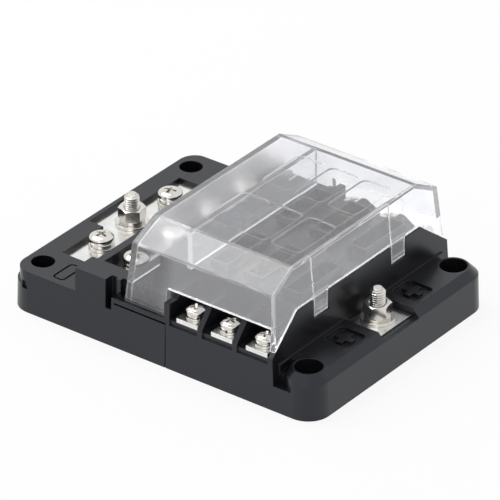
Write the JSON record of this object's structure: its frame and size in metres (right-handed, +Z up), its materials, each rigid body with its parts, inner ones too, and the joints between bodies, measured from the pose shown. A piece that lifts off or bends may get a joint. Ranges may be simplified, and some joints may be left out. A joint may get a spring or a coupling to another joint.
{
  "type": "fuse block",
  "caption": "Blade fuse block: black moulded base, positive and negative studs, screw terminals along both sides, negative bus, clear clip-fit cover.",
  "frame": {"origin": "centre of the base's underside", "axes": "+X along the block from the negative stud to the positive stud, +Y across it to the far terminals, +Z up out of the panel"},
  "size_m": [0.122, 0.094, 0.0439],
  "materials": {
    "black_moulding": "fine satin moulded nylon",
    "clear_cover": "hazy clear moulded plastic",
    "tin_plate": "bright tin plated brass sheet",
    "nickel_hardware": "nickel plated steel"
  },
  "bodies": {
    "block": {"base": "black_moulding", "positive_bus": "tin_plate", "negative_bus": "tin_plate", "positive_stud": "nickel_hardware", "negative_stud": "nickel_hardware", "output_terminal_near_1": "tin_plate", "output_terminal_near_2": "tin_plate", "output_terminal_near_3": "tin_plate", "output_terminal_far_1": "tin_plate", "output_terminal_far_2": "tin_plate", "output_terminal_far_3": "tin_plate"},
    "cover": {"cover": "clear_cover"},
    "output_washers_near_1": {"output_washers_near_1": "nickel_hardware"},
    "output_screw_near_1": {"output_screw_near_1": "nickel_hardware"},
    "output_washers_near_2": {"output_washers_near_2": "nickel_hardware"},
    "output_screw_near_2": {"output_screw_near_2": "nickel_hardware"},
    "output_washers_near_3": {"output_washers_near_3": "nickel_hardware"},
    "output_screw_near_3": {"output_screw_near_3": "nickel_hardware"},
    "negative_washers_near_1": {"negative_washers_near_1": "nickel_hardware"},
    "negative_screw_near_1": {"negative_screw_near_1": "nickel_hardware"},
    "negative_washers_near_2": {"negative_washers_near_2": "nickel_hardware"},
    "negative_screw_near_2": {"negative_screw_near_2": "nickel_hardware"},
    "negative_washers_near_3": {"negative_washers_near_3": "nickel_hardware"},
    "negative_screw_near_3": {"negative_screw_near_3": "nickel_hardware"},
    "output_washers_far_1": {"output_washers_far_1": "nickel_hardware"},
    "output_screw_far_1": {"output_screw_far_1": "nickel_hardware"},
    "output_washers_far_2": {"output_washers_far_2": "nickel_hardware"},
    "output_screw_far_2": {"output_screw_far_2": "nickel_hardware"},
    "output_washers_far_3": {"output_washers_far_3": "nickel_hardware"},
    "output_screw_far_3": {"output_screw_far_3": "nickel_hardware"},
    "negative_washers_far_1": {"negative_washers_far_1": "nickel_hardware"},
    "negative_screw_far_1": {"negative_screw_far_1": "nickel_hardware"},
    "negative_washers_far_2": {"negative_washers_far_2": "nickel_hardware"},
    "negative_screw_far_2": {"negative_screw_far_2": "nickel_hardware"},
    "negative_washers_far_3": {"negative_washers_far_3": "nickel_hardware"},
    "negative_screw_far_3": {"negative_screw_far_3": "nickel_hardware"},
    "negative_stud_washers": {"negative_stud_washers": "nickel_hardware"},
    "negative_nut": {"negative_nut": "nickel_hardware"},
    "positive_stud_washers": {"positive_stud_washers": "nickel_hardware"},
    "positive_nut": {"positive_nut": "nickel_hardware"}
  },
  "joints": [
    {"name": "cover_lift", "type": "slide", "parent": "block", "child": "cover", "axis": [0, 0, 1], "range_m": [0, 0.03]},
    {"name": "output_screw_near_1_lift", "type": "slide", "parent": "block", "child": "output_washers_near_1", "axis": [0, 0, 1], "range_m": [0, 0.0024]},
    {"name": "output_screw_near_1_turn", "type": "hinge", "parent": "output_washers_near_1", "child": "output_screw_near_1", "pos_m": [0.0109, -0.041, 0.019], "axis": [0, 0, 1], "range_deg": [0, 1450]},
    {"name": "output_screw_near_2_lift", "type": "slide", "parent": "block", "child": "output_washers_near_2", "axis": [0, 0, 1], "range_m": [0, 0.0024]},
    {"name": "output_screw_near_2_turn", "type": "hinge", "parent": "output_washers_near_2", "child": "output_screw_near_2", "pos_m": [0.0245, -0.041, 0.019], "axis": [0, 0, 1], "range_deg": [0, 1450]},
    {"name": "output_screw_near_3_lift", "type": "slide", "parent": "block", "child": "output_washers_near_3", "axis": [0, 0, 1], "range_m": [0, 0.0024]},
    {"name": "output_screw_near_3_turn", "type": "hinge", "parent": "output_washers_near_3", "child": "output_screw_near_3", "pos_m": [0.0381, -0.041, 0.019], "axis": [0, 0, 1], "range_deg": [0, 1450]},
    {"name": "negative_screw_near_1_lift", "type": "slide", "parent": "block", "child": "negative_washers_near_1", "axis": [0, 0, 1], "range_m": [0, 0.0028]},
    {"name": "negative_screw_near_1_turn", "type": "hinge", "parent": "negative_washers_near_1", "child": "negative_screw_near_1", "pos_m": [-0.0453, -0.0179, 0.0134], "axis": [0, 0, 1], "range_deg": [0, 1450]},
    {"name": "negative_screw_near_2_lift", "type": "slide", "parent": "block", "child": "negative_washers_near_2", "axis": [0, 0, 1], "range_m": [0, 0.0028]},
    {"name": "negative_screw_near_2_turn", "type": "hinge", "parent": "negative_washers_near_2", "child": "negative_screw_near_2", "pos_m": [-0.02335, -0.0095, 0.0186], "axis": [0, 0, 1], "range_deg": [0, 1450]},
    {"name": "negative_screw_near_3_lift", "type": "slide", "parent": "block", "child": "negative_washers_near_3", "axis": [0, 0, 1], "range_m": [0, 0.0028]},
    {"name": "negative_screw_near_3_turn", "type": "hinge", "parent": "negative_washers_near_3", "child": "negative_screw_near_3", "pos_m": [-0.02335, -0.028, 0.0186], "axis": [0, 0, 1], "range_deg": [0, 1450]},
    {"name": "output_screw_far_1_lift", "type": "slide", "parent": "block", "child": "output_washers_far_1", "axis": [0, 0, 1], "range_m": [0, 0.0024]},
    {"name": "output_screw_far_1_turn", "type": "hinge", "parent": "output_washers_far_1", "child": "output_screw_far_1", "pos_m": [0.0109, 0.041, 0.019], "axis": [0, 0, 1], "range_deg": [0, 1450]},
    {"name": "output_screw_far_2_lift", "type": "slide", "parent": "block", "child": "output_washers_far_2", "axis": [0, 0, 1], "range_m": [0, 0.0024]},
    {"name": "output_screw_far_2_turn", "type": "hinge", "parent": "output_washers_far_2", "child": "output_screw_far_2", "pos_m": [0.0245, 0.041, 0.019], "axis": [0, 0, 1], "range_deg": [0, 1450]},
    {"name": "output_screw_far_3_lift", "type": "slide", "parent": "block", "child": "output_washers_far_3", "axis": [0, 0, 1], "range_m": [0, 0.0024]},
    {"name": "output_screw_far_3_turn", "type": "hinge", "parent": "output_washers_far_3", "child": "output_screw_far_3", "pos_m": [0.0381, 0.041, 0.019], "axis": [0, 0, 1], "range_deg": [0, 1450]},
    {"name": "negative_screw_far_1_lift", "type": "slide", "parent": "block", "child": "negative_washers_far_1", "axis": [0, 0, 1], "range_m": [0, 0.0028]},
    {"name": "negative_screw_far_1_turn", "type": "hinge", "parent": "negative_washers_far_1", "child": "negative_screw_far_1", "pos_m": [-0.0453, 0.0179, 0.0134], "axis": [0, 0, 1], "range_deg": [0, 1450]},
    {"name": "negative_screw_far_2_lift", "type": "slide", "parent": "block", "child": "negative_washers_far_2", "axis": [0, 0, 1], "range_m": [0, 0.0028]},
    {"name": "negative_screw_far_2_turn", "type": "hinge", "parent": "negative_washers_far_2", "child": "negative_screw_far_2", "pos_m": [-0.02335, 0.0095, 0.0186], "axis": [0, 0, 1], "range_deg": [0, 1450]},
    {"name": "negative_screw_far_3_lift", "type": "slide", "parent": "block", "child": "negative_washers_far_3", "axis": [0, 0, 1], "range_m": [0, 0.0028]},
    {"name": "negative_screw_far_3_turn", "type": "hinge", "parent": "negative_washers_far_3", "child": "negative_screw_far_3", "pos_m": [-0.02335, 0.028, 0.0186], "axis": [0, 0, 1], "range_deg": [0, 1450]},
    {"name": "negative_nut_lift", "type": "slide", "parent": "block", "child": "negative_stud_washers", "axis": [0, 0, 1], "range_m": [0, 0.0032]},
    {"name": "negative_nut_turn", "type": "hinge", "parent": "negative_stud_washers", "child": "negative_nut", "pos_m": [-0.047, 0, 0.0134], "axis": [0, 0, 1], "range_deg": [0, 1450]},
    {"name": "positive_nut_lift", "type": "slide", "parent": "block", "child": "positive_stud_washers", "axis": [0, 0, 1], "range_m": [0, 0.0032]},
    {"name": "positive_nut_turn", "type": "hinge", "parent": "positive_stud_washers", "child": "positive_nut", "pos_m": [0.051, 0, 0.0129], "axis": [0, 0, 1], "range_deg": [0, 1450]}
  ],
  "couplings": [
    {"joint": "output_screw_near_1_turn", "follows": "output_screw_near_1_lift", "rad_per_m": 10472},
    {"joint": "output_screw_near_2_turn", "follows": "output_screw_near_2_lift", "rad_per_m": 10472},
    {"joint": "output_screw_near_3_turn", "follows": "output_screw_near_3_lift", "rad_per_m": 10472},
    {"joint": "negative_screw_near_1_turn", "follows": "negative_screw_near_1_lift", "rad_per_m": 8976},
    {"joint": "negative_screw_near_2_turn", "follows": "negative_screw_near_2_lift", "rad_per_m": 8976},
    {"joint": "negative_screw_near_3_turn", "follows": "negative_screw_near_3_lift", "rad_per_m": 8976},
    {"joint": "output_screw_far_1_turn", "follows": "output_screw_far_1_lift", "rad_per_m": 10472},
    {"joint": "output_screw_far_2_turn", "follows": "output_screw_far_2_lift", "rad_per_m": 10472},
    {"joint": "output_screw_far_3_turn", "follows": "output_screw_far_3_lift", "rad_per_m": 10472},
    {"joint": "negative_screw_far_1_turn", "follows": "negative_screw_far_1_lift", "rad_per_m": 8976},
    {"joint": "negative_screw_far_2_turn", "follows": "negative_screw_far_2_lift", "rad_per_m": 8976},
    {"joint": "negative_screw_far_3_turn", "follows": "negative_screw_far_3_lift", "rad_per_m": 8976},
    {"joint": "negative_nut_turn", "follows": "negative_nut_lift", "rad_per_m": 7854},
    {"joint": "positive_nut_turn", "follows": "positive_nut_lift", "rad_per_m": 7854}
  ]
}
